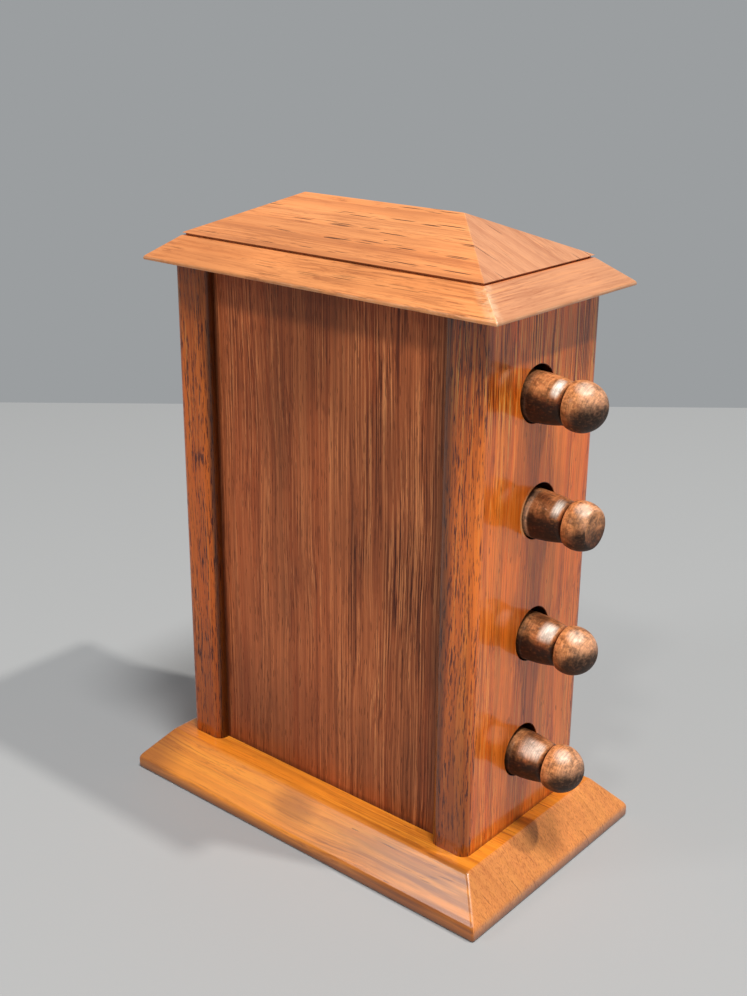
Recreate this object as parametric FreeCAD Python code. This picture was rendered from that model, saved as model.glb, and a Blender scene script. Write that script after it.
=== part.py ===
import FreeCAD, Part
import math
import os

# Upright wooden puzzle box with a hipped roof for a lid and four turned pegs in one end.
# Millimetres. +Z is up, X runs along the long side with the pegs at +X, and the origin
# is the centre of the base's underside.

Vector = FreeCAD.Vector

# Case
BODY_LENGTH = 99.0
BODY_WIDTH = 49.0
CASE_HEIGHT = 137.6
END_BOARD_THICK = 11.3
END_BOARD_ROUND = 2.5
PANEL_THICK = 6.0
PANEL_RECESS = 3.4
PANEL_TONGUE = 3.0
GROOVE_END_GAP = 0.1

# Base
BASE_THICK = 12.4
BASE_EDGE = 3.5
BASE_RIM = 3.9
BASE_BEVEL_RUN = 7.8

# Lid
EAVE_OVERHANG_END = 6.5
EAVE_OVERHANG_SIDE = 4.4
EAVE_EDGE = 0.9
CORNICE_THICK = 6.5
CORNICE_BEVEL_END = 8.1
CORNICE_BEVEL_SIDE = 6.3
SHADOW_GAP = 0.6
SHADOW_DEPTH = 0.8
ROOF_RISE = 10.2
PLUG_THICK = 4.0
PLUG_CLEARANCE = 0.4
PLUG_CHAMFER = 0.8
DOWEL_DIA = 5.0
DOWEL_DEPTH = 3.5
DOWEL_SPACING = 40.0

# Pegs, named from the top down. The holes were drilled by hand, so they wander a little.
PEG_MARGIN = 21.7
HOLE_SIDE_WANDER = (-2.0, 1.0, 1.0, -1.5)
HOLE_RISE_WANDER = (-0.5, 0.9, -0.5, -1.2)
DROOP_DEG = 0.2
SHANK_DIA = 12.2
SHANK_END_DIA = 10.6
SHANK_LIP = 0.5
SHANK_SHOW = 9.1
SHANK_EDGE_ROUND = 0.8
HOLE_CLEARANCE = 1.8
HOLE_MOUTH_ROUND = 0.25
LIP_CLEARANCE = 0.2
GROOVE_WIDTH = 0.8
GROOVE_DEPTH = 1.5
KNOB_DIA = 12.2
KNOB_BACK = 2.1
KNOB_END_CUTS = (0.2, 2.2, 0.2, 0.2)
KNOB_END_ROUND = 1.0
SHOULDER_RECESS = 0.4
TAIL_DIA = 5.0
TAIL_CLEARANCE = 1.0
TAIL_BEYOND_COLLAR = 1.0
COLLAR_DIA = 9.0
COLLAR_THICK = 3.0
COLLAR_GAP = 0.6
PIN_DIA = 1.5
PIN_SINK = 0.3

# Lock slat and the inner boards round it
SLAT_THICK = 3.5
SLAT_FRONT_GAP = 0.7
SLAT_SIDE_GAP = 0.4
SLAT_TOE = 3.0
SLOT_CLEARANCE = 0.4
KEYHOLE_CLEARANCE = 1.2
LOCK_OVERTRAVEL = 1.0
SHOULDER_STOP_GAP = 0.3
GUIDE_THICK = 5.0
WALL_THICK = 4.0
WALL_TOP_GAP = 0.2
TAIL_ROOM = 0.7
CLEAT_HEIGHT = 9.0
CLEAT_DEPTH = 10.0
CLEAT_GAP = 0.5

# Screws
BASE_SCREW_DIA = 3.5
BASE_SCREW_HEAD = 7.0
BASE_SCREW_LENGTH = 24.0
BASE_SCREW_SPACING = 20.0
SLAT_SCREW_DIA = 2.2
SLAT_SCREW_HEAD = 4.4
SLAT_SCREW_LENGTH = 9.0
SLAT_SCREW_SPACING = 16.0
SCREW_FIT = 0.05
SCREW_SLOT_WIDTH = 0.7
SCREW_SLOT_DEPTH = 0.5

# Levels and planes worked out from the sizes above
CASE_TOP = BASE_THICK + CASE_HEIGHT
FACE_X = BODY_LENGTH / 2
BOARD_INNER_X = FACE_X - END_BOARD_THICK
PANEL_OUTER_Y = BODY_WIDTH / 2 - PANEL_RECESS
INNER_WIDTH = 2 * (PANEL_OUTER_Y - PANEL_THICK)
EAVE_LENGTH = BODY_LENGTH + 2 * EAVE_OVERHANG_END
EAVE_WIDTH = BODY_WIDTH + 2 * EAVE_OVERHANG_SIDE
ROOF_LENGTH = EAVE_LENGTH - 2 * CORNICE_BEVEL_END
ROOF_WIDTH = EAVE_WIDTH - 2 * CORNICE_BEVEL_SIDE
CORNICE_TOP = CASE_TOP + CORNICE_THICK

# The pegs slide past the slat's whole thickness, and the guide board stops them there.
DROOP = math.radians(DROOP_DEG)
STROKE = SLAT_FRONT_GAP + SLAT_THICK + LOCK_OVERTRAVEL
SLAT_FRONT_X = BOARD_INNER_X - SLAT_FRONT_GAP
SLAT_REAR_X = SLAT_FRONT_X - SLAT_THICK
GUIDE_FRONT_X = BOARD_INNER_X - STROKE - SHOULDER_STOP_GAP
GUIDE_REAR_X = GUIDE_FRONT_X - GUIDE_THICK
COLLAR_FRONT = (GUIDE_REAR_X - COLLAR_GAP - FACE_X) / math.cos(DROOP)
COLLAR_REAR = COLLAR_FRONT - COLLAR_THICK
TAIL_END = COLLAR_REAR - TAIL_BEYOND_COLLAR
SHOULDER = (SHOULDER_RECESS - END_BOARD_THICK) / math.cos(DROOP)
WALL_FRONT_X = FACE_X + (TAIL_END - STROKE) * math.cos(DROOP) - TAIL_ROOM
WALL_REAR_X = WALL_FRONT_X - WALL_THICK
PEG_COUNT = len(HOLE_SIDE_WANDER)
PEG_PITCH = (CASE_HEIGHT - 2 * PEG_MARGIN) / (PEG_COUNT - 1)


def peg_height(index):
    """Height at which a peg's axis crosses the outer face of its end board."""
    return CASE_TOP - PEG_MARGIN - index * PEG_PITCH + HOLE_RISE_WANDER[index]


def axis_height(index, x):
    """Height of a peg's drooping axis at a plane of constant X."""
    return peg_height(index) + (FACE_X - x) * math.tan(DROOP)


def box(x_low, x_high, width, z_low, z_high, y_middle=0.0):
    corner = Vector(x_low, y_middle - width / 2, z_low)
    return Part.makeBox(x_high - x_low, width, z_high - z_low, corner)


def rectangle(length, width, z):
    corners = [
        Vector(-length / 2, -width / 2, z),
        Vector(length / 2, -width / 2, z),
        Vector(length / 2, width / 2, z),
        Vector(-length / 2, width / 2, z),
    ]
    return Part.makePolygon(corners + corners[:1])


def bevelled_slab(length, width, run_end, run_side, bottom, edge, height):
    """Board with a plain edge below and all four sides bevelled above it."""
    slab = box(-length / 2, length / 2, width, bottom, bottom + edge)
    lower = rectangle(length, width, bottom + edge)
    upper = rectangle(length - 2 * run_end, width - 2 * run_side, bottom + height)
    bevel = Part.makeLoft([lower, upper], True, True)
    return slab.fuse(bevel).removeSplitter()


def rod_x(diameter, x_low, x_high, y, z):
    return Part.makeCylinder(diameter / 2, x_high - x_low, Vector(x_low, y, z), Vector(1, 0, 0))


def vertical_edges(shape):
    found = []
    for edge in shape.Edges:
        span = edge.BoundBox
        if span.XLength < 1e-6 and span.YLength < 1e-6:
            found.append(edge)
    return found


def screw(diameter, head, length, fit=0.0, slotted=True):
    """Countersunk screw standing on its flat head, with its point upwards."""
    flare = (head - diameter) / 2
    cone = Part.makeCone(head / 2 + fit, diameter / 2 + fit, flare)
    shank = Part.makeCylinder(diameter / 2 + fit, length + fit)
    body = cone.fuse(shank).removeSplitter()
    if not slotted:
        return body
    slot_corner = Vector(-head / 2, -SCREW_SLOT_WIDTH / 2, 0)
    return body.cut(Part.makeBox(head, SCREW_SLOT_WIDTH, SCREW_SLOT_DEPTH, slot_corner))


def base_screw_set(fit=0.0, slotted=True):
    screws = []
    for x in (-1, 1):
        for y in (-1, 1):
            one = screw(BASE_SCREW_DIA, BASE_SCREW_HEAD, BASE_SCREW_LENGTH, fit, slotted)
            one.translate(Vector(x * (FACE_X - END_BOARD_THICK / 2), y * BASE_SCREW_SPACING / 2, 0))
            screws.append(one)
    return screws


def slat_screw_set(fit=0.0, slotted=True):
    screws = []
    for y in (-1, 1):
        one = screw(SLAT_SCREW_DIA, SLAT_SCREW_HEAD, SLAT_SCREW_LENGTH, fit, slotted)
        one.rotate(Vector(0, 0, 0), Vector(0, 1, 0), -90)
        one.translate(Vector(SLAT_FRONT_X, y * SLAT_SCREW_SPACING / 2, CASE_TOP - CLEAT_HEIGHT / 2))
        screws.append(one)
    return screws


def cut_all(shape, tools):
    for tool in tools:
        shape = shape.cut(tool)
    return shape


def base_board():
    length = BODY_LENGTH + 2 * (BASE_RIM + BASE_BEVEL_RUN)
    width = BODY_WIDTH + 2 * (BASE_RIM + BASE_BEVEL_RUN)
    board = bevelled_slab(length, width, BASE_BEVEL_RUN, BASE_BEVEL_RUN, 0, BASE_EDGE, BASE_THICK)
    return cut_all(board, base_screw_set(SCREW_FIT, False))


def end_board(side):
    """Thick upright board with rounded arrises, grooved inside for the two panels."""
    low = min(side * FACE_X, side * BOARD_INNER_X)
    board = box(low, low + END_BOARD_THICK, BODY_WIDTH, BASE_THICK, CASE_TOP)
    rounding = min(END_BOARD_ROUND, 0.45 * END_BOARD_THICK)
    board = board.makeFillet(rounding, vertical_edges(board))
    groove_depth = PANEL_TONGUE + GROOVE_END_GAP
    groove_low = min(side * BOARD_INNER_X, side * (BOARD_INNER_X + groove_depth))
    for panel_side in (-1, 1):
        middle = panel_side * (PANEL_OUTER_Y - PANEL_THICK / 2)
        groove = box(groove_low, groove_low + groove_depth, PANEL_THICK, BASE_THICK, CASE_TOP, middle)
        board = board.cut(groove)
    return cut_all(board, base_screw_set(SCREW_FIT, False))


def peg_end_board():
    board = end_board(1)
    hole_dia = SHANK_DIA + HOLE_CLEARANCE
    for index in range(PEG_COUNT):
        hole_height = peg_height(index) + HOLE_CLEARANCE / 2 - LIP_CLEARANCE
        hole = rod_x(hole_dia, BOARD_INNER_X - 1, FACE_X + 1, HOLE_SIDE_WANDER[index], hole_height)
        board = board.cut(hole)
    mouths = []
    for edge in board.Edges:
        if isinstance(edge.Curve, Part.Circle) and edge.BoundBox.XMin > FACE_X - 1e-6:
            mouths.append(edge)
    return board.makeFillet(HOLE_MOUTH_ROUND, mouths)


def side_panel(side):
    reach = BOARD_INNER_X + PANEL_TONGUE
    middle = side * (PANEL_OUTER_Y - PANEL_THICK / 2)
    return box(-reach, reach, PANEL_THICK, BASE_THICK, CASE_TOP, middle)


def guide_board():
    """Inner board that carries the tails of the pegs."""
    top = CASE_TOP - CLEAT_HEIGHT - CLEAT_GAP
    board = box(GUIDE_REAR_X, GUIDE_FRONT_X, INNER_WIDTH, BASE_THICK, top)
    middle_x = (GUIDE_REAR_X + GUIDE_FRONT_X) / 2
    for index in range(PEG_COUNT):
        height = axis_height(index, middle_x)
        hole_dia = TAIL_DIA + TAIL_CLEARANCE
        hole = rod_x(hole_dia, GUIDE_REAR_X - 1, GUIDE_FRONT_X + 1, HOLE_SIDE_WANDER[index], height)
        board = board.cut(hole)
    return board


def compartment_wall():
    return box(WALL_REAR_X, WALL_FRONT_X, INNER_WIDTH, BASE_THICK, CASE_TOP - WALL_TOP_GAP)


def roof_dowel_set():
    dowels = []
    for side in (-1, 1):
        foot = Vector(side * DOWEL_SPACING / 2, 0, CORNICE_TOP - DOWEL_DEPTH)
        dowels.append(Part.makeCylinder(DOWEL_DIA / 2, 2 * DOWEL_DEPTH, foot))
    return dowels


def cornice_board():
    board = bevelled_slab(
        EAVE_LENGTH,
        EAVE_WIDTH,
        CORNICE_BEVEL_END,
        CORNICE_BEVEL_SIDE,
        CASE_TOP,
        EAVE_EDGE,
        CORNICE_THICK,
    )
    return cut_all(board, roof_dowel_set())


def roof_block():
    """Hipped block of equal slopes on a slightly smaller foot that leaves a shadow line."""
    foot_length = ROOF_LENGTH - 2 * SHADOW_DEPTH
    foot_width = ROOF_WIDTH - 2 * SHADOW_DEPTH
    spring = CORNICE_TOP + SHADOW_GAP
    foot = box(-foot_length / 2, foot_length / 2, foot_width, CORNICE_TOP, spring)
    front_left = Vector(-ROOF_LENGTH / 2, -ROOF_WIDTH / 2, spring)
    front_right = Vector(ROOF_LENGTH / 2, -ROOF_WIDTH / 2, spring)
    back_right = Vector(ROOF_LENGTH / 2, ROOF_WIDTH / 2, spring)
    back_left = Vector(-ROOF_LENGTH / 2, ROOF_WIDTH / 2, spring)
    half_ridge = (ROOF_LENGTH - ROOF_WIDTH) / 2
    ridge_left = Vector(-half_ridge, 0, spring + ROOF_RISE)
    ridge_right = Vector(half_ridge, 0, spring + ROOF_RISE)
    outlines = [
        [back_left, back_right, front_right, front_left],
        [front_left, front_right, ridge_right, ridge_left],
        [back_right, back_left, ridge_left, ridge_right],
        [front_right, back_right, ridge_right],
        [back_left, front_left, ridge_left],
    ]
    faces = [Part.Face(Part.makePolygon(points + points[:1])) for points in outlines]
    hips = Part.Solid(Part.Shell(faces))
    return cut_all(hips.fuse(foot).removeSplitter(), roof_dowel_set())


def lid_plug():
    """Board under the lid that drops into the compartment's mouth."""
    low = -BOARD_INNER_X + PLUG_CLEARANCE
    high = WALL_REAR_X - PLUG_CLEARANCE
    bottom = CASE_TOP - PLUG_THICK
    plug = box(low, high, INNER_WIDTH - 2 * PLUG_CLEARANCE, bottom, CASE_TOP)
    rims = [edge for edge in plug.Edges if edge.BoundBox.ZMax < bottom + 1e-6]
    return plug.makeChamfer(PLUG_CHAMFER, rims)


def slat_cleat():
    width = INNER_WIDTH - 2 * SLAT_SIDE_GAP
    cleat = box(SLAT_REAR_X - CLEAT_DEPTH, SLAT_REAR_X, width, CASE_TOP - CLEAT_HEIGHT, CASE_TOP)
    return cut_all(cleat, slat_screw_set(SCREW_FIT, False))


def lock_slat():
    """Slat that hangs from the lid: a slot for the peg tails, with a keyhole at each peg."""
    middle_x = (SLAT_FRONT_X + SLAT_REAR_X) / 2
    keyhole_dia = SHANK_DIA + KEYHOLE_CLEARANCE
    lowest = axis_height(PEG_COUNT - 1, middle_x)
    toe = lowest - keyhole_dia / 2 - SLAT_TOE
    slat = box(SLAT_REAR_X, SLAT_FRONT_X, INNER_WIDTH - 2 * SLAT_SIDE_GAP, toe, CASE_TOP)
    slot_middle = (min(HOLE_SIDE_WANDER) + max(HOLE_SIDE_WANDER)) / 2
    slot_spread = max(HOLE_SIDE_WANDER) - min(HOLE_SIDE_WANDER)
    slot_width = TAIL_DIA + slot_spread + 2 * SLOT_CLEARANCE
    slot_top = axis_height(0, middle_x)
    slat = slat.cut(box(SLAT_REAR_X - 1, SLAT_FRONT_X + 1, slot_width, toe - 1, slot_top, slot_middle))
    for index in range(PEG_COUNT):
        height = axis_height(index, middle_x)
        keyhole = rod_x(keyhole_dia, SLAT_REAR_X - 1, SLAT_FRONT_X + 1, HOLE_SIDE_WANDER[index], height)
        slat = slat.cut(keyhole)
    return cut_all(slat, slat_screw_set(SCREW_FIT, False))


def set_on_axis(shape, index):
    """Take a shape drawn along +X from the board's face to a peg's drooping axis."""
    shape.rotate(Vector(0, 0, 0), Vector(0, 1, 0), DROOP_DEG)
    shape.translate(Vector(FACE_X, HOLE_SIDE_WANDER[index], peg_height(index)))
    return shape


def pin_rod():
    """Rod across the collar, drawn before the peg is set on its axis."""
    length = COLLAR_DIA - 2 * PIN_SINK
    middle = (COLLAR_FRONT + COLLAR_REAR) / 2
    return Part.makeCylinder(PIN_DIA / 2, length, Vector(middle, 0, -length / 2))


def peg(index):
    """Turned peg: thin tail, shank that tapers outside its hole, a scored groove and a ball knob."""
    shank = SHANK_DIA / 2
    shank_end = SHANK_END_DIA / 2
    tail = TAIL_DIA / 2
    knob = KNOB_DIA / 2
    knob_start = SHANK_SHOW + GROOVE_WIDTH
    knob_middle = knob_start + KNOB_BACK
    half = math.sqrt(0.5)
    round_in = SHANK_EDGE_ROUND * (1 - half)
    back_angle = math.asin(KNOB_BACK / knob)

    # The knob's end is cut flat, and its rim is rounded with a circle that touches ball and flat.
    cut = KNOB_END_CUTS[index]
    rim_from_middle = knob - KNOB_END_ROUND
    rim_along = rim_from_middle - cut
    rim_angle = math.acos(rim_along / rim_from_middle)
    rim_out = rim_from_middle * math.sin(rim_angle)

    def at(along, out):
        return Vector(along, 0, out)

    def on_ball(angle):
        return at(knob_middle + knob * math.cos(angle), knob * math.sin(angle))

    def on_rim(angle):
        along = knob_middle + rim_along + KNOB_END_ROUND * math.cos(angle)
        return at(along, rim_out + KNOB_END_ROUND * math.sin(angle))

    round_start = at(SHANK_SHOW - SHANK_EDGE_ROUND, shank_end)
    round_middle = at(SHANK_SHOW - round_in, shank_end - round_in)
    round_end = at(SHANK_SHOW, shank_end - SHANK_EDGE_ROUND)
    groove_foot = at(SHANK_SHOW + GROOVE_WIDTH / 2, shank_end - GROOVE_DEPTH)
    back = math.pi / 2 + back_angle
    ball_middle = (back + rim_angle) / 2
    knob_end = knob_middle + knob - cut
    edges = [
        Part.makeLine(at(TAIL_END, 0), at(TAIL_END, tail)),
        Part.makeLine(at(TAIL_END, tail), at(SHOULDER, tail)),
        Part.makeLine(at(SHOULDER, tail), at(SHOULDER, shank)),
        Part.makeLine(at(SHOULDER, shank), at(SHANK_LIP, shank)),
        Part.makeLine(at(SHANK_LIP, shank), round_start),
        Part.Arc(round_start, round_middle, round_end).toShape(),
        Part.makeLine(round_end, groove_foot),
        Part.makeLine(groove_foot, on_ball(back)),
        Part.Arc(on_ball(back), on_ball(ball_middle), on_ball(rim_angle)).toShape(),
        Part.Arc(on_ball(rim_angle), on_rim(rim_angle / 2), at(knob_end, rim_out)).toShape(),
        Part.makeLine(at(knob_end, rim_out), at(knob_end, 0)),
        Part.makeLine(at(knob_end, 0), at(TAIL_END, 0)),
    ]
    outline = Part.Face(Part.Wire(edges))
    turned = outline.revolve(Vector(0, 0, 0), Vector(1, 0, 0), 360)
    return set_on_axis(turned.cut(pin_rod()), index)


def peg_collar(index):
    """Stop collar that keeps a peg from being drawn right out."""
    ring = rod_x(COLLAR_DIA, COLLAR_REAR, COLLAR_FRONT, 0, 0)
    ring = ring.cut(rod_x(TAIL_DIA, COLLAR_REAR - 1, COLLAR_FRONT + 1, 0, 0))
    return set_on_axis(ring.cut(pin_rod()), index)


def peg_pin(index):
    return set_on_axis(pin_rod(), index)


def build():
    pieces = {
        "base_board": base_board(),
        "base_screws": Part.makeCompound(base_screw_set()),
        "peg_end_board": peg_end_board(),
        "rear_end_board": end_board(-1),
        "front_panel": side_panel(-1),
        "back_panel": side_panel(1),
        "guide_board": guide_board(),
        "compartment_wall": compartment_wall(),
        "cornice_board": cornice_board(),
        "roof_block": roof_block(),
        "roof_dowels": Part.makeCompound(roof_dowel_set()),
        "lid_plug": lid_plug(),
        "slat_cleat": slat_cleat(),
        "lock_slat": lock_slat(),
        "slat_screws": Part.makeCompound(slat_screw_set()),
    }
    for index in range(PEG_COUNT):
        name = "peg_%d" % (index + 1)
        pieces[name] = peg(index)
        pieces[name + "_collar"] = peg_collar(index)
        pieces[name + "_pin"] = peg_pin(index)
    return pieces


os.makedirs("parts", exist_ok=True)
for node, shape in build().items():
    shape.exportStep("parts/%s.step" % node)
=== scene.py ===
import math

import bmesh
import bpy
from mathutils import Matrix, Vector, noise


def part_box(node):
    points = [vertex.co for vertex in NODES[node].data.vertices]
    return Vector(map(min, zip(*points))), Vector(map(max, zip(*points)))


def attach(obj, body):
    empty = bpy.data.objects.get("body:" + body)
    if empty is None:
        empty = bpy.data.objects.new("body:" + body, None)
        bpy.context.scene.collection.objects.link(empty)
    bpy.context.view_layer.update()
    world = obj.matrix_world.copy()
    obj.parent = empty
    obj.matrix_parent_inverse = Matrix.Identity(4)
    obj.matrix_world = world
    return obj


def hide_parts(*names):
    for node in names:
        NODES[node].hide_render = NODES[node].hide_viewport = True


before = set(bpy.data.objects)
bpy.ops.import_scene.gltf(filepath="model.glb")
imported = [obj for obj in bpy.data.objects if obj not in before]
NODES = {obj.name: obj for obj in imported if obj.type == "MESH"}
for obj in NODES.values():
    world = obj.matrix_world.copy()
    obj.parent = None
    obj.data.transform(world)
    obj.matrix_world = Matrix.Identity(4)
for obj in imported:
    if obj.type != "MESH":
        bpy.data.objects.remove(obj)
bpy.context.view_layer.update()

# Upright wooden puzzle box with a hipped roof for a lid and four turned pegs in one end.
# Metres, in the frame of the solids: +Z up, +X towards the pegs, the base's underside at zero.

MM = 0.001

# Viewpoint of the photograph
VIEW_AZIMUTH = math.radians(40.09)
VIEW_ELEVATION = math.radians(20.67)
VIEW_ROLL = math.radians(0.42)
VIEW_DISTANCE = 359.95 * MM
VIEW_ASIDE = -1.32 * MM
VIEW_HEIGHT = 89.76 * MM
FOCAL_PIXELS = 1359.77
PICTURE_HEIGHT = 996
SENSOR_HEIGHT = 36.0
NEAREST_SEEN = 0.01

# Table, wall and light
FLOOR_REACH = 3.0
FLOOR_BACK = 0.383
TABLE_GREY = (171, 172, 172)
WALL_GREY = (155, 158, 160)
AIR_COLOUR = (0.86, 0.95, 1.06, 1.0)
AIR_STRENGTH = 0.13
WHITE_LIGHT = (1.0, 1.0, 1.0)
WARM_LIGHT = (1.0, 0.97, 0.92)
LAMPS_AIM = Vector((0.0, 0.0, 0.08))

# Shapes that the solids' boxes alone don't give
BASE_EDGE = 3.5 * MM
BASE_BEVEL_RUN = 7.8 * MM
EAVE_EDGE = 0.9 * MM
SHADOW_GAP = 0.6 * MM
SHADOW_DEPTH = 0.8 * MM

# Pegs, top to bottom, each on an axis that leaves the end board's face and sags a little
PEG_NAMES = ("peg_1", "peg_2", "peg_3", "peg_4")
PEG_SIDES = (-2.0 * MM, 1.0 * MM, 1.0 * MM, -1.5 * MM)
PEG_HEIGHTS = (127.8 * MM, 97.8 * MM, 65.0 * MM, 32.9 * MM)
PEG_FACE = 49.5 * MM
HOLE_RISE = 0.7 * MM
HOLE_RADIUS = 7.0 * MM
PEG_DROOP = math.radians(0.2)
TAIL_END = -26.4 * MM
TAIL_RADIUS = 2.5 * MM
SHOULDER = -10.9 * MM
SHANK_RADIUS = 6.1 * MM
SHANK_END_RADIUS = 5.3 * MM
SHANK_LIP = 0.5 * MM
SHANK_SHOW = 9.1 * MM
SHANK_EDGE_ROUND = 1.3 * MM
GROOVE_WIDTH = 0.8 * MM
GROOVE_DEPTH = 1.5 * MM
GROOVE_MIDDLE = SHANK_SHOW + GROOVE_WIDTH / 2
KNOB_RADIUS = 6.1 * MM
KNOB_BACK = 2.1 * MM
KNOB_END_CUTS = (0.2 * MM, 2.2 * MM, 0.2 * MM, 0.2 * MM)
KNOB_END_ROUND = 1.0 * MM
LIP_STOPS = (0.4, 0.7, 0.9, 1.0)
TAPER_STOPS = (0.06, 0.14, 0.25, 0.37, 0.5, 0.63, 0.75, 0.87, 1.0)
TURNING_STEPS = 72
WAVER_DEPTH = 0.09 * MM
WAVER_PITCH = 4.0 * MM
NEAR_AXIS = 0.1 * MM

# Wear, painted highlights and painted shade on the pegs: how much and how long on each, and which way
# the marked places look
# Pale lip ring on each peg: rubbing, and partly a painted highlight on the side the lights reach.
LIP_RUB_AND_HIGHLIGHT = (0.25, 1.0, 0.1, 0.15)
LIP_FADE = 0.5 * MM
LIP_SIDE = Vector((0.0, -0.95, 0.3))
# Sides where a highlight is painted on the shank and on the ball, and where a fainter painted sheen
# goes on the ball's front.
SHANK_HIGHLIGHT_SIDE = Vector((0.0, -0.57, 0.82))
BALL_HIGHLIGHT_SIDE = Vector((0.32, -0.36, 0.87))
BALL_SHEEN_SIDE = Vector((0.91, -0.2, 0.35))
# Length and strength of the painted highlight on each shank's end, and where it stops and fades.
HIGHLIGHT_LENGTHS = (3.2 * MM, 3.2 * MM, 5.0 * MM, 7.5 * MM)
HIGHLIGHT_SHARES = (1.0, 1.0, 0.8, 0.5)
HIGHLIGHT_END = 0.2 * MM
HIGHLIGHT_FADE = 1.3 * MM
# Reach of the painted shade below the shank near its hole, and width of the painted shade in the
# groove.
ROOT_SHADE_LENGTH = 6.0 * MM
GROOVE_SHADE_WIDTH = 0.5 * MM
FLAT_CUT = 1.0 * MM
AMBER_VARNISH = (1.0, 0.8, 0.62, 1.0)

# Edges: how far they are softened, and which ones count as sharp or as a corner
FINE_EDGE = 0.25 * MM
EAVE_SOFT = 0.35 * MM
WORN_EDGE = 0.7 * MM
# Reach of the pale tip at the cornice's near corner: wear, and partly a painted highlight.
WORN_AND_LIT_TIP = 1.6 * MM
SHARP_FROM = math.radians(15)
SMOOTH_UP_TO = math.radians(40)
MERGE_WITHIN = 0.001 * MM
CORNER_MARGIN = 0.01

# Relief in the finishes
PORE_DEPTH = 0.1 * MM
TOOL_MARK_DEPTH = 0.02 * MM


# Colours and shader nodes

def srgb(red, green, blue):
    """A colour written in display values from 0 to 255, as the shader wants it."""
    def linear(value):
        share = value / 255
        if share <= 0.04045:
            return share / 12.92
        return ((share + 0.055) / 1.055) ** 2.4
    return (linear(red), linear(green), linear(blue), 1.0)


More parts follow.
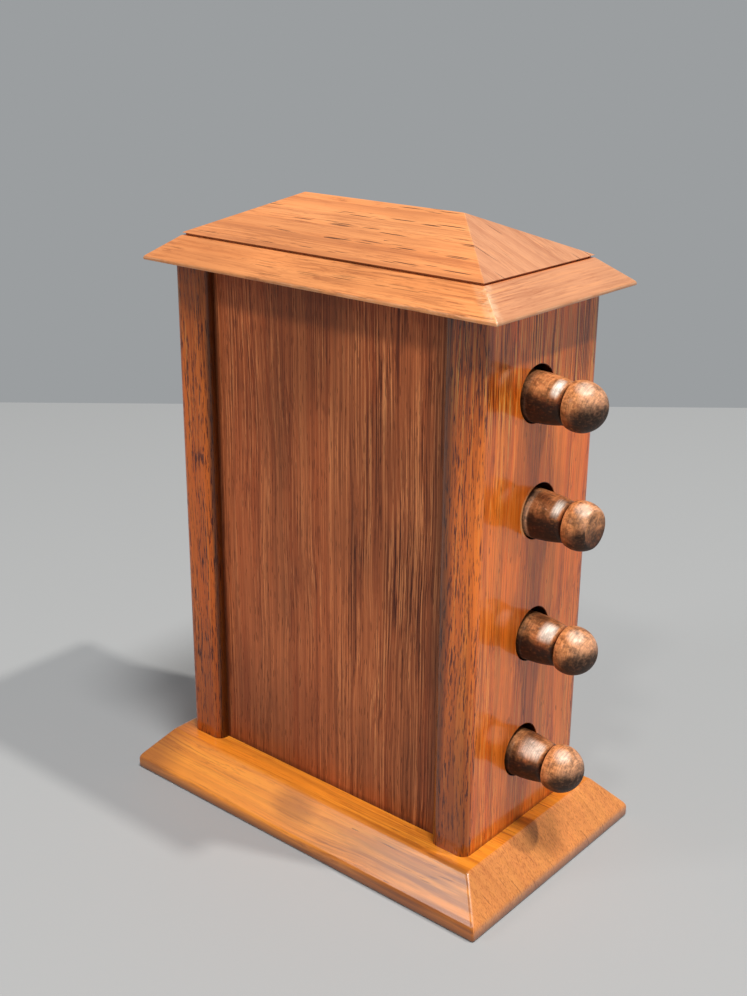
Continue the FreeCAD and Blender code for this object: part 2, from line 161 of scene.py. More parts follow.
class Shader:
    """Short ways to add nodes to one material."""

    def __init__(self, name):
        self.material = bpy.data.materials.new(name)
        self.material.use_nodes = True
        self.tree = self.material.node_tree
        self.tree.nodes.clear()
        self.surface = self.add("ShaderNodeBsdfPrincipled")
        output = self.add("ShaderNodeOutputMaterial")
        self.tree.links.new(self.surface.outputs["BSDF"], output.inputs["Surface"])

    def add(self, kind):
        return self.tree.nodes.new(kind)

    def put(self, socket, value):
        if isinstance(value, bpy.types.NodeSocket):
            self.tree.links.new(value, socket)
        else:
            socket.default_value = value

    def math(self, operation, first, second=0.0, clamp=False):
        """One step of arithmetic on two numbers."""
        node = self.add("ShaderNodeMath")
        node.operation = operation
        node.use_clamp = clamp
        self.put(node.inputs[0], first)
        self.put(node.inputs[1], second)
        return node.outputs[0]

    def line(self, value, times, plus=0.0):
        """A value times one number, plus another."""
        node = self.add("ShaderNodeMath")
        node.operation = "MULTIPLY_ADD"
        self.put(node.inputs[0], value)
        self.put(node.inputs[1], times)
        self.put(node.inputs[2], plus)
        return node.outputs[0]

    def times(self, first, *others):
        """All the values multiplied together."""
        for other in others:
            first = self.math("MULTIPLY", first, other)
        return first

    def most(self, first, *others):
        """The greatest of the values."""
        for other in others:
            first = self.math("MAXIMUM", first, other)
        return first

    def size(self, value):
        """How far a value is from zero, either way."""
        return self.math("ABSOLUTE", value)

    def vector(self, x, y, z):
        node = self.add("ShaderNodeCombineXYZ")
        self.put(node.inputs[0], x)
        self.put(node.inputs[1], y)
        self.put(node.inputs[2], z)
        return node.outputs[0]

    def length(self, x, y, z):
        """Distance of a place from the middle."""
        node = self.add("ShaderNodeVectorMath")
        node.operation = "LENGTH"
        self.put(node.inputs[0], self.vector(x, y, z))
        return node.outputs["Value"]

    def scaled(self, place, x_scale, y_scale, z_scale):
        return self.vector(
            self.times(place[0], x_scale),
            self.times(place[1], y_scale),
            self.times(place[2], z_scale),
        )

    def stretched(self, fibre, across_scale, along_scale):
        """A place across and along the grain, with a scale of its own each way."""
        return self.scaled(fibre, across_scale, across_scale, along_scale)

    def millimetres(self):
        """Place on the piece along X, Y and Z, in millimetres."""
        place = self.add("ShaderNodeTexCoord")
        split = self.add("ShaderNodeSeparateXYZ")
        self.put(split.inputs[0], place.outputs["Object"])
        return [self.times(axis, 1 / MM) for axis in split.outputs]

    def noise(self, where, detail=2.0, roughness=0.5, scale=1.0):
        """Soft cloudy noise, about a half on the whole."""
        node = self.add("ShaderNodeTexNoise")
        self.put(node.inputs["Vector"], where)
        self.put(node.inputs["Scale"], scale)
        self.put(node.inputs["Detail"], detail)
        self.put(node.inputs["Roughness"], roughness)
        return node.outputs["Fac"]

    def cells(self, across, along):
        """Distance to the nearest of many scattered points on a plane, and two random numbers of it."""
        node = self.add("ShaderNodeTexVoronoi")
        node.voronoi_dimensions = "2D"
        self.put(node.inputs["Vector"], self.vector(across, along, 0.0))
        self.put(node.inputs["Scale"], 1.0)
        split = self.add("ShaderNodeSeparateColor")
        self.put(split.inputs[0], node.outputs["Color"])
        return node.outputs["Distance"], split.outputs[0], split.outputs[1]

    def random(self, value):
        """A fixed random number for each value."""
        node = self.add("ShaderNodeTexWhiteNoise")
        node.noise_dimensions = "1D"
        self.put(node.inputs["W"], value)
        return node.outputs["Value"]

    def step(self, value, low, high, to_low=0.0, to_high=1.0):
        """Smooth step; a low above the high makes it fall instead of rise."""
        node = self.add("ShaderNodeMapRange")
        node.interpolation_type = "SMOOTHSTEP"
        self.put(node.inputs["Value"], value)
        self.put(node.inputs["From Min"], low)
        self.put(node.inputs["From Max"], high)
        self.put(node.inputs["To Min"], to_low)
        self.put(node.inputs["To Max"], to_high)
        return node.outputs["Result"]

    def fade(self, value, start, full, amount):
        """Nothing at the start and the amount at the full, smoothly; either may be the greater."""
        return self.step(value, start, full, 0.0, amount)

    def mix(self, share, first, second):
        """A share of the second colour over the first."""
        node = self.add("ShaderNodeMix")
        node.data_type = "RGBA"
        self.put(node.inputs["Factor"], share)
        colours = [socket for socket in node.inputs if socket.type == "RGBA"]
        self.put(colours[0], first)
        self.put(colours[1], second)
        return [socket for socket in node.outputs if socket.type == "RGBA"][0]

    def shade(self, colour, tone):
        """A colour made darker or lighter as a whole."""
        node = self.add("ShaderNodeVectorMath")
        node.operation = "SCALE"
        self.put(node.inputs[0], colour)
        self.put(node.inputs["Scale"], tone)
        return node.outputs[0]

    def attribute(self, name):
        """What the mesh itself marks at a place, such as its wear, its painted light or its painted
        shade.
        """
        node = self.add("ShaderNodeAttribute")
        node.attribute_name = name
        return node.outputs["Fac"]

    def bump(self, height, depth):
        """Relief of a depth in metres."""
        node = self.add("ShaderNodeBump")
        self.put(node.inputs["Distance"], depth)
        self.put(node.inputs["Height"], height)
        return node.outputs["Normal"]

    def varnish(self, weight, roughness):
        """A clear coat over everything."""
        self.surface.inputs["Coat Weight"].default_value = weight
        self.surface.inputs["Coat Roughness"].default_value = roughness


# Woods, with every length and place in millimetres

# Which of X, Y and Z runs across, into and along the grain, for grain along each of them
GRAIN_ORDER = {"X": (1, 2, 0), "Y": (0, 2, 1), "Z": (0, 1, 2)}


def grain_place(s, place, grain, deep_share, shift, wobble):
    """Place across, into and along the grain, which wanders a little from straight."""
    order = GRAIN_ORDER[grain]
    side = s.math("ADD", place[order[0]], shift)
    deep = s.line(place[order[1]], deep_share, shift)
    along = s.math("ADD", place[order[2]], shift)
    drift = s.noise(s.stretched((side, deep, along), 0.035, 0.011))
    drift = s.line(drift, 2 * wobble, -wobble)
    side = s.math("ADD", side, drift)
    deep = s.math("ADD", deep, s.times(drift, 0.6))
    return side, deep, along


def growth_rings(s, fibre, heart, ring_width):
    """How far through its ring a place lies, and how dark the ring's late wood is there."""
    side, deep, _ = fibre
    ring = s.length(s.math("ADD", side, heart[0]), s.math("ADD", deep, heart[1]), 0.0)
    ring = s.math("DIVIDE", ring, ring_width)
    ring_part = s.math("FRACT", ring)
    own_strength = s.line(s.random(s.math("FLOOR", ring)), 0.7, 0.3)
    late = s.times(s.step(ring_part, 0.35, 0.9), s.step(ring_part, 1.0, 0.93), own_strength)
    return ring_part, late


def open_pores(s, fibre, pitch, length, size, chance):
    """Short strokes along the grain, each of its own size, kept or left out by chance."""
    side, deep, along = fibre
    across = s.line(side, 0.8, s.times(deep, 0.6))
    distance, pick, spread = s.cells(s.times(across, 1 / pitch), s.times(along, 1 / length))
    reach = s.line(spread, size, 0.35 * size)
    pore = s.math("DIVIDE", s.math("SUBTRACT", reach, distance), 0.45 * size, clamp=True)
    return s.times(pore, s.math("LESS_THAN", pick, chance))


def stipple(s, place, across_end):
    """Fine dots on the faces that are cut across the grain."""
    dots = s.noise(s.scaled(place, 1.2, 3.2, 1.2), detail=2.0)
    return s.times(s.step(dots, 0.5, 0.66), across_end)


def wood(
    name,
    grain,
    light,
    middle,
    dark,
    pore_colour,
    worn_and_lit,
    pale=None,
    heart=(60.0, 25.0),
    deep_share=1.0,
    ring_width=2.4,
    ring_strength=0.3,
    band_strength=0.5,
    dark_lines=0.6,
    light_lines=0.4,
    short_lines=0.3,
    line_pitch=0.7,
    line_length=70.0,
    line_place=None,
    dash_place=None,
    rub_and_highlight_place=None,
    patina_low=0.84,
    wobble=3.0,
    pore_pitch=0.9,
    pore_length=7.0,
    pore_size=0.17,
    pore_strength=0.7,
    pore_rows=0.3,
    pore_place=None,
    stain_and_shade=None,
    stain_and_shade_colour=None,
    end_colour=None,
    end_strength=0.0,
    end_calm=0.0,
    end_dots=0.0,
    roughness=0.42,
    shine=0.3,
    coat=0.25,
    coat_roughness=0.2,
    coat_ior=1.5,
    shift=0.0,
):
    """Solid wood: growth rings about a heart, fibre lines, bands and open pores.

    The functions given for places, and for stains and painted shade, say how strong a mark is where.
    """
    s = Shader(name)
    place = s.millimetres()
    fibre = grain_place(s, place, grain, deep_share, shift, wobble)
    across_end = s.attribute("end_grain")
    calm = s.line(across_end, -end_calm, 1.0)
    ring_part, late = growth_rings(s, fibre, heart, ring_width)
    late = s.times(late, calm)

    long_line = s.noise(s.stretched(fibre, 1 / line_pitch, 1 / line_length), detail=5.0, roughness=0.66)
    short_line = s.noise(s.stretched(fibre, 2.6, 0.17), detail=3.0, roughness=0.65)
    swell = s.noise(s.stretched(fibre, 0.16, 0.025), detail=2.0)
    swell = s.times(s.step(swell, 0.34, 0.64, 0.4, 1.15), calm)
    line_swell = s.times(swell, line_place(s, place)) if line_place else swell
    dash_swell = s.times(swell, dash_place(s, place)) if dash_place else swell
    darker = s.times(s.step(long_line, 0.48, 0.62), line_swell)
    lighter = s.times(s.step(long_line, 0.49, 0.36), line_swell)
    dashes = s.times(s.step(short_line, 0.52, 0.66), dash_swell)

    chance = s.step(ring_part, 0.45, 0.12, pore_rows, 1.0)
    if pore_place:
        chance = s.times(chance, pore_place(s, place))
    pore = open_pores(s, fibre, pore_pitch, pore_length, pore_size, chance)

    band = s.noise(s.stretched(fibre, 0.2, 0.006), detail=3.0, roughness=0.55)
    patina = s.noise(s.stretched(fibre, 0.035, 0.02), detail=3.0)
    colour = s.mix(s.fade(band, 0.3, 0.7, band_strength), middle, light)
    if end_colour:
        colour = s.mix(s.times(across_end, end_strength), colour, end_colour)
    colour = s.mix(s.times(lighter, light_lines), colour, pale or light)
    colour = s.mix(s.times(late, ring_strength), colour, dark)
    colour = s.mix(s.times(darker, dark_lines), colour, dark)
    colour = s.mix(s.times(dashes, short_lines), colour, dark)
    if end_dots:
        colour = s.mix(s.times(stipple(s, place, across_end), end_dots), colour, dark)
    colour = s.shade(colour, s.step(patina, 0.3, 0.7, patina_low, 1.1))
    colour = s.mix(s.times(pore, pore_strength), colour, pore_colour)
    # Darker colour where the given function says: real stains on the base, painted shade in recesses,
    # at feet and under the eave, and a painted falloff on the eave.
    if stain_and_shade:
        colour = s.mix(stain_and_shade(s, place), colour, stain_and_shade_colour)
    # Pale worn colour where the mesh marks wear, partly as a painted highlight on mitres, tips and a
    # hole's rim.
    rub_and_highlight = s.noise(s.stretched(fibre, 0.3, 0.2), detail=4.0, roughness=0.6)
    rub_and_highlight = s.times(s.attribute("wear_and_light"), s.step(rub_and_highlight, 0.36, 0.6))
    if rub_and_highlight_place:
        rub_and_highlight = s.most(rub_and_highlight, rub_and_highlight_place(s, place))
    colour = s.mix(rub_and_highlight, colour, worn_and_lit)
    s.put(s.surface.inputs["Base Color"], colour)

    matt = s.line(darker, 0.08, roughness - 0.04)
    matt = s.math("ADD", matt, s.times(pore, 0.2), clamp=True)
    s.put(s.surface.inputs["Roughness"], matt)
    s.surface.inputs["Specular IOR Level"].default_value = shine
    s.surface.inputs["Coat IOR"].default_value = coat_ior
    s.varnish(coat, coat_roughness)
    height = s.math("SUBTRACT", s.times(darker, -0.14), pore)
    height = s.math("SUBTRACT", height, s.times(dashes, 0.1))
    s.put(s.surface.inputs["Normal"], s.bump(height, PORE_DEPTH))
    return s.material


def on_edge(s, place):
    """One on the boards' narrow edges, nothing on their faces."""
    return s.step(s.size(place[1]), 20.5, 23.5)


def across_hole(s, place, index):
    """Place from the middle of a peg's hole, aside and up across the end board."""
    aside = s.math("SUBTRACT", place[1], PEG_SIDES[index] / MM)
    up = s.math("SUBTRACT", place[2], (PEG_HEIGHTS[index] + HOLE_RISE) / MM)
    return aside, up


def painted_edge_shade(s, place, inner, low):
    """Painted shade at the foot and, on a narrow edge, painted shade under the lid; the narrow edge is
    also darker low down.
    """
    height = place[2]
    foot = s.fade(height, 14.5, 12.4, 0.55)
    low_down = s.fade(height, 95.0, 15.0, low)
    # Painted shade under the lid's eave.
    eave_shade = s.fade(height, 132.0, 142.0, 0.55)
    darker_low_and_eave_shade = s.times(s.most(low_down, eave_shade), on_edge(s, place))
    return s.most(inner, foot, darker_low_and_eave_shade)


def peg_board_shade(s, place):
    """Painted shade beside the panels and inside the holes, and a little darker low down."""
    beside = s.fade(s.size(place[0]), 44.5, 40.3, 0.75)
    dull = s.fade(place[2], 90.0, 20.0, 0.12)
    stain_and_shade = s.most(painted_edge_shade(s, place, beside, 0.6), dull)
    hole = HOLE_RADIUS / MM
    for index in range(len(PEG_NAMES)):
        aside, up = across_hole(s, place, index)
        # Painted shade inside each hole's mouth.
        inside = s.fade(s.length(aside, up, 0.0), hole + 0.25, hole + 0.02, 0.92)
        stain_and_shade = s.most(stain_and_shade, inside)
    return stain_and_shade


def rear_board_shade(s, place):
    """Painted shade where the board turns in to the panels, along with the edges' painted shade and
    darkening.
    """
    beside = s.fade(s.size(place[0]), 39.4, 38.4, 0.85)
    return painted_edge_shade(s, place, beside, 0.3)


def hole_rim_rub_and_highlight(s, place):
    """The second hole's mouth is painted pale on the side towards the long panel: rubbed wood, and
    partly a painted highlight on its rim.
    """
    aside, up = across_hole(s, place, 1)
    from_mouth = s.math("SUBTRACT", s.length(aside, up, 0.0), HOLE_RADIUS / MM + 0.3)
    ring = s.step(s.size(from_mouth), 0.8, 0.3)
    outer = s.fade(s.line(aside, -1.0, s.times(up, 0.2)), 3.6, 6.4, 0.5)
    broken = s.step(s.noise(s.vector(*place), detail=3.0, scale=0.9), 0.36, 0.54, 0.35, 1.0)
    return s.times(ring, outer, broken)


def case_lines(s, place):
    """Long fibre lines stand out most under the eave, and least on the narrow edges."""
    under_eave = s.step(place[2], 118.0, 133.0, 0.8, 2.5)
    return s.times(under_eave, s.line(on_edge(s, place), -0.45, 1.0))


def case_dashes(s, place):
    """Short fibres mottle the narrow edges."""
    return s.line(on_edge(s, place), 2.6, 0.8)


def case_pores(s, place):
    """Open pores show on the boards' narrow edges and hardly on their faces."""
    return s.step(s.size(place[1]), 20.5, 23.0, 0.12, 0.75)


def case_wood(name, tone, shift, stain_and_shade, coat, rub_and_highlight_place=None):
    """Orange-brown, well varnished wood of the two end boards."""
    return wood(
        name,
        "Z",
        light=srgb(255 * tone, 146 * tone, 44 * tone),
        middle=srgb(252 * tone, 114 * tone, 22 * tone),
        dark=srgb(116 * tone, 38 * tone, 5 * tone),
        pore_colour=srgb(58, 20, 7),
        # Pale colour for wear and for the painted highlight on the second hole's rim.
        worn_and_lit=srgb(255, 208, 144),
        pale=srgb(255 * tone, 178 * tone, 88 * tone),
        heart=(40.0, 70.0),
        ring_width=2.8,
        ring_strength=0.35,
        band_strength=0.5,
        dark_lines=0.55,
        light_lines=0.7,
        short_lines=0.6,
        line_pitch=0.45,
        line_length=80.0,
        line_place=case_lines,
        dash_place=case_dashes,
        rub_and_highlight_place=rub_and_highlight_place,
        pore_pitch=0.55,
        pore_length=5.0,
        pore_size=0.18,
        pore_strength=0.45,
        pore_rows=0.6,
        pore_place=case_pores,
        stain_and_shade=stain_and_shade,
        # Colour of the painted shade and darkening.
        stain_and_shade_colour=srgb(34, 9, 3),
        roughness=0.36,
        shine=0.2,
        coat=coat,
        coat_roughness=0.11,
        coat_ior=1.52,
        shift=shift,
    )


def panel_shade(s, place):
    """Painted shade where the panel meets the boards, the base and the eave, and a little darker low
    down.
    """
    length = place[0]
    height = place[2]
    near_board = s.fade(length, 31.0, 38.4, 0.6)
    far_board = s.fade(length, -35.5, -38.4, 0.75)
    foot = s.fade(height, 15.5, 12.4, 0.6)
    low_down = s.fade(height, 75.0, 20.0, 0.21)
    eave = s.fade(height, 137.0, 141.5, 0.35)
    return s.most(near_board, far_board, foot, low_down, eave)


def panel_lines(s, place):
    """Fibre lines stand out most towards the pegs' end, and less low down."""
    by_pegs = s.step(place[0], -15.0, 28.0, 0.8, 1.8)
    high_up = s.step(place[2], 25.0, 85.0, 0.65, 1.0)
    return s.times(by_pegs, high_up)


def panel_wood():
    """Darker, duller wood of the two long panels, lined up and down."""
    return wood(
        "panel_wood",
        "Z",
        light=srgb(234, 139, 82),
        middle=srgb(186, 91, 46),
        dark=srgb(84, 32, 16),
        pore_colour=srgb(44, 16, 8),
        worn_and_lit=srgb(160, 98, 66),
        pale=srgb(255, 160, 98),
        heart=(120.0, 60.0),
        ring_width=2.2,
        ring_strength=0.3,
        band_strength=0.5,
        dark_lines=0.6,
        light_lines=0.82,
        short_lines=0.5,
        line_pitch=0.45,
        line_length=80.0,
        line_place=panel_lines,
        patina_low=0.7,
        pore_pitch=0.5,
        pore_length=8.0,
        pore_size=0.15,
        pore_strength=0.5,
        pore_rows=0.35,
        stain_and_shade=panel_shade,
        # Colour of the painted shade and darkening.
        stain_and_shade_colour=srgb(36, 15, 9),
        roughness=0.5,
        shine=0.2,
        coat=0.12,
        coat_roughness=0.3,
        shift=95.0,
    )


def roof_pores(s, place):
    """Rows of pores are closest towards the pegs' end, and rare on faces cut across the grain."""
    by_pegs = s.step(place[0], -40.0, 15.0, 0.25, 1.0)
    return s.times(by_pegs, s.line(s.attribute("end_grain"), -0.9, 1.0))


def mitre_rub_and_highlight(s, place):
    """The cornice is painted pale along its mitres, most of all at one corner by the pegs: rubbed wood,
    and partly a painted highlight on the corner the lights catch.
    """
    length = place[0]
    width = place[1]
    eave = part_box("cornice_board")[1]
    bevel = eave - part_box("roof_block")[1]
    from_end = s.line(s.size(length), -MM / bevel.x, eave.x / bevel.x)
    from_side = s.line(s.size(width), -MM / bevel.y, eave.y / bevel.y)
    mitre = s.fade(s.size(s.math("SUBTRACT", from_end, from_side)), 0.5, 0.05, 0.4)
    corner = s.step(s.math("SUBTRACT", length, width), 45.0, 65.0, 0.1, 1.0)
    patchy = s.noise(s.vector(*place), detail=4.0, roughness=0.6, scale=0.55)
    return s.times(mitre, corner, s.step(patchy, 0.38, 0.6, 0.2, 1.0))


def painted_falloff(s, place):
    """The eave is painted a little darker away from the pegs' end: painted shade where less light
    falls.
    """
    return s.fade(place[0], 30.0, -55.0, 0.3)


def roof_wood(
    name,
    grain,
    rings,
    lines,
    pore_strength,
    shift,
    tone,
    ring_width=3.1,
    stain_and_shade=None,
    rub_and_highlight_place=None,
):
    """Paler, open-pored wood of the cornice and the roof."""
    return wood(
        name,
        grain,
        light=srgb(248 * tone, 168 * tone, 104 * tone),
        middle=srgb(230 * tone, 142 * tone, 80 * tone),
        dark=srgb(146, 72, 34),
        pore_colour=srgb(62, 26, 10),
        # Pale colour for wear and for the painted highlight on the mitres.
        worn_and_lit=srgb(255, 222, 182),
        heart=(150.0, 24.0),
        deep_share=0.3,
        ring_width=ring_width,
        ring_strength=rings,
        band_strength=0.6,
        dark_lines=lines,
        light_lines=lines,
        short_lines=lines,
        line_pitch=0.5,
        line_length=22.0,
        wobble=1.2,
        pore_pitch=0.38,
        pore_length=13.0,
        pore_size=0.28,
        pore_strength=pore_strength,
        pore_rows=0.03,
        pore_place=roof_pores,
        rub_and_highlight_place=rub_and_highlight_place,
        stain_and_shade=stain_and_shade,
        # Colour of the painted falloff shade on the eave.
        stain_and_shade_colour=srgb(146, 72, 34),
        end_colour=srgb(198, 140, 104),
        end_strength=0.8,
        end_calm=0.25,
        roughness=0.42,
        shine=0.3,
        coat=0.35,
        coat_roughness=0.25,
        shift=shift,
    )


def base_stain_and_shade(s, place):
    """Painted shade on the lower edge, darker at the far end, a rubbed patch on the front bevel, and
    browner near corners.
    """
    length, width, height = place
    cut_across = s.attribute("end_grain")
    # Painted shade along the thin lower edge.
    edge = s.fade(height, 3.4, 0.6, 0.75)
    far_end = s.fade(length, -42.0, -56.0, 0.5)
    from_patch = s.length(
        s.times(s.math("ADD", length, 2.5), 0.09),
        s.times(s.math("ADD", width, 31.5), 0.2),
        0.0,
    )
    patch = s.fade(from_patch, 1.0, 0.2, 0.42)
    streak = s.noise(s.scaled(place, 0.03, 0.5, 0.5), detail=3.0)
    corner = s.times(
        s.step(length, -5.0, 42.0),
        s.step(width, -26.5, -28.5),
        s.line(cut_across, -1.0, 1.0),
        s.step(streak, 0.35, 0.65, 0.15, 0.7),
    )
    end_corner = s.times(s.fade(width, 0.0, -30.0, 0.14), cut_across)
    return s.most(edge, far_end, end_corner, patch, corner)


def base_pores(s, place):
    """Long dark pores near the pegs' end."""
    return s.step(place[0], 5.0, 48.0, 0.06, 0.9)


def base_wood():
    """Golden, glossy wood of the base."""
    return wood(
        "base_wood",
        "X",
        light=srgb(255, 168, 56),
        middle=srgb(248, 142, 38),
        dark=srgb(156, 72, 20),
        pore_colour=srgb(112, 50, 16),
        # Pale colour for wear and for the painted highlight on the mitres.
        worn_and_lit=srgb(252, 208, 150),
        heart=(140.0, 60.0),
        deep_share=0.5,
        ring_width=3.4,
        ring_strength=0.35,
        band_strength=0.6,
        dark_lines=0.34,
        light_lines=0.35,
        short_lines=0.3,
        line_pitch=0.55,
        line_length=40.0,
        patina_low=0.8,
        pore_pitch=0.7,
        pore_length=16.0,
        pore_size=0.17,
        pore_strength=0.55,
        pore_rows=0.15,
        pore_place=base_pores,
        stain_and_shade=base_stain_and_shade,
        # Colour of the stains and of the painted shade on the lower edge.
        stain_and_shade_colour=srgb(104, 46, 18),
        end_colour=srgb(250, 165, 103),
        end_strength=0.6,
        end_calm=0.4,
        end_dots=0.38,
        roughness=0.4,
        shine=0.2,
        coat=0.9,
        coat_roughness=0.22,
        shift=11.0,
    )


def peg_finish():
    """Dark stain over pale turned wood under gloss varnish, painted lighter above where it is rubbed
    and lit, with painted highlights, and painted black as shade below.
    """
    deep_stain = srgb(48, 18, 8)
    stain = srgb(136, 59, 26)
    grain_line = srgb(32, 15, 9)
    pale_fleck = srgb(176, 114, 64)
    # Colours for the painted light above, the painted highlight and the painted shade below.
    rubbed_and_lit_tan = srgb(232, 155, 97)
    highlight_cream = srgb(255, 248, 234)
    shade_black = srgb(30, 9, 2)

    s = Shader("peg_wood")
    along, side, up = s.millimetres()
    fibre = (side, up, along)
    mottle = s.noise(s.stretched(fibre, 0.4, 0.34), detail=5.0, roughness=0.64)
    grain = s.noise(s.stretched(fibre, 2.4, 0.22), detail=3.0, roughness=0.6)
    fleck = s.noise(s.stretched(fibre, 1.3, 0.9), detail=3.0, roughness=0.6)
    turned = s.noise(s.stretched(fibre, 0.35, 3.4), detail=3.0, roughness=0.65)
    # Lighter where rubbed and where light falls from above, a painted highlight, and painted shade
    # below and in the groove.
    rubbed_and_lit = s.times(
        s.attribute("wear_and_light"),
        s.step(mottle, 0.36, 0.56, 0.48, 1.0),
        s.step(fleck, 0.38, 0.54, 0.56, 1.0),
    )
    painted_highlight = s.times(s.attribute("painted_highlight"), s.step(mottle, 0.36, 0.58, 0.7, 1.2))
    painted_shade = s.attribute("painted_shade")
    shade_share = s.times(painted_shade, s.step(fleck, 0.72, 0.4, 0.7, 1.0))

    colour = s.mix(s.step(mottle, 0.38, 0.62), deep_stain, stain)
    colour = s.mix(s.fade(grain, 0.46, 0.66, 0.6), colour, grain_line)
    colour = s.mix(s.fade(fleck, 0.56, 0.7, 0.5), colour, pale_fleck)
    colour = s.mix(rubbed_and_lit, colour, rubbed_and_lit_tan)
    colour = s.mix(painted_highlight, colour, highlight_cream)
    colour = s.mix(shade_share, colour, shade_black)
    colour = s.shade(colour, s.step(turned, 0.32, 0.68, 0.74, 1.24))
    s.put(s.surface.inputs["Base Color"], colour)
    matt = s.line(painted_shade, 0.3, s.step(mottle, 0.3, 0.7, 0.41, 0.35))
    s.put(s.surface.inputs["Roughness"], matt)
    s.surface.inputs["Specular IOR Level"].default_value = 0.42
    s.surface.inputs["Specular Tint"].default_value = AMBER_VARNISH
    s.varnish(weight=0.12, roughness=0.25)
    turning = s.math("SINE", s.times(along, 14.0))
    height = s.line(turning, 0.1, s.times(grain, -0.5))
    height = s.math("ADD", height, s.times(fleck, 0.4))
    s.put(s.surface.inputs["Normal"], s.bump(height, TOOL_MARK_DEPTH))
    return s.material


def inner_wood(grain, name):
    """Pale, bare wood of the parts inside."""
    return wood(
        name,
        grain,
        light=srgb(224, 178, 120),
        middle=srgb(206, 152, 96),
        dark=srgb(150, 96, 56),
        pore_colour=srgb(92, 60, 36),
        worn_and_lit=srgb(222, 186, 140),
        ring_strength=0.4,
        dark_lines=0.35,
        pore_strength=0.5,
        roughness=0.6,
        coat=0.0,
        shift=60.0,
    )


def metal(name, colour, roughness):
    """Plain turned metal with fine scratches and a slightly dulled film."""
    s = Shader(name)
    where = s.vector(*s.millimetres())
    film = s.noise(where, detail=4.0, scale=0.6)
    scratch = s.noise(where, detail=6.0, roughness=0.7, scale=6.0)
    dull = tuple(0.55 * part for part in colour[:3]) + (1.0,)
    s.put(s.surface.inputs["Base Color"], s.mix(s.step(film, 0.45, 0.75), colour, dull))
    s.put(s.surface.inputs["Roughness"], s.line(scratch, 0.25, roughness))
    s.surface.inputs["Metallic"].default_value = 1.0
    s.put(s.surface.inputs["Normal"], s.bump(scratch, TOOL_MARK_DEPTH))
    return s.material


# Mesh helpers

def blank():
    """An empty mesh that can mark how far its faces are rubbed pale, partly as a painted highlight, and
    which are cut across the grain.
    """
    bm = bmesh.new()
    bm.faces.layers.float.new("wear_and_light")
    bm.faces.layers.float.new("end_grain")
    return bm


def block(low, high):
    """A box between two corners."""
    bm = blank()
    size = high - low
    place = Matrix.Translation((low + high) / 2) @ Matrix.Diagonal((*size, 1.0))
    bmesh.ops.create_cube(bm, size=1.0, matrix=place)
    return bm


def top_face(bm):
    """The highest face of a mesh."""
    return max(bm.faces, key=lambda face: face.calc_center_median().z)


def draw_up(bm, rise, run_x, run_y):
    """Raise the top face, drawing its sides in by a run along X and along Y."""
    face = top_face(bm)
    middle = face.calc_center_median()
    spread_x = max(abs(v.co.x - middle.x) for v in face.verts)
    spread_y = max(abs(v.co.y - middle.y) for v in face.verts)
    made = bmesh.ops.extrude_face_region(bm, geom=[face])["geom"]
    verts = [v for v in made if isinstance(v, bmesh.types.BMVert)]
    bmesh.ops.delete(bm, geom=[face], context="FACES_ONLY")
    bmesh.ops.translate(bm, verts=verts, vec=(0.0, 0.0, rise))
    shrink = Vector(((spread_x - run_x) / spread_x, (spread_y - run_y) / spread_y, 1.0))
    bmesh.ops.scale(bm, verts=verts, vec=shrink, space=Matrix.Translation(-middle))


def soften(bm, edges, width, segments):
    """Round the edges off and give back the narrow faces made there."""
    return bmesh.ops.bevel(
        bm,
        geom=list(edges),
        offset=width,
        offset_type="OFFSET",
        affect="EDGES",
        segments=segments,
        profile=0.5,
        material=-1,
        clamp_overlap=True,
    )["faces"]


def sharp_edges(bm):
    """Edges where two faces meet at a clear angle."""
    return [e for e in bm.edges if len(e.link_faces) == 2 and e.calc_face_angle() > SHARP_FROM]


def mark(bm, what, faces, amount):
    """Write an amount on some faces, for the finish to read."""
    layer = bm.faces.layers.float[what]
    for face in faces:
        face[layer] = amount


def end_faces(bm):
    """Faces that look along the board's length clearly more than across it."""
    return [f for f in bm.faces if abs(f.normal.x) > max(0.15, abs(f.normal.y) + CORNER_MARGIN)]


def looks_to_corner(face):
    """True for the narrow faces along a mitre, which look out between two sides."""
    along = abs(face.normal.x)
    across = abs(face.normal.y)
    return along > 0.2 and abs(along - across) < 0.3 * max(along, 0.3)


def finish_piece(name, bm, materials, body, node):
    """Make the mesh an object that rides on its body in the place of a node of the solids."""
    mesh = bpy.data.meshes.new(name)
    bm.to_mesh(mesh)
    bm.free()
    mesh.shade_smooth()
    mesh.set_sharp_from_angle(angle=SMOOTH_UP_TO)
    for material in materials:
        mesh.materials.append(material)
    piece = bpy.data.objects.new(name, mesh)
    bpy.context.scene.collection.objects.link(piece)
    even = piece.modifiers.new("even_shading", "WEIGHTED_NORMAL")
    even.keep_sharp = True
    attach(piece, body)
    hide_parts(node)


def dress(node, material):
    """Give a node of the solids, whose shape is right as it is, its finish."""
    slots = NODES[node].data.materials
    slots.clear()
    slots.append(material)


# Boards

def base_board(material):
    """Board with a thin upright edge and a bevel all round, worn along its edges and mitres; the pale
    mitres are partly a painted highlight.
    """
    low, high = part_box("base_board")
    bm = block(low, Vector((high.x, high.y, low.z + BASE_EDGE)))
    draw_up(bm, high.z - low.z - BASE_EDGE, BASE_BEVEL_RUN, BASE_BEVEL_RUN)
    faces = soften(bm, sharp_edges(bm), WORN_EDGE, segments=4)
    bm.normal_update()
    mitres = [f for f in faces if looks_to_corner(f) and f.normal.z > 0.3]
    # Pale mitres: wear, and partly a painted highlight.
    mark(bm, "wear_and_light", mitres, 0.65)
    mark(bm, "end_grain", end_faces(bm), 1.0)
    finish_piece("base_board_worn", bm, [material], "case", "base_board")


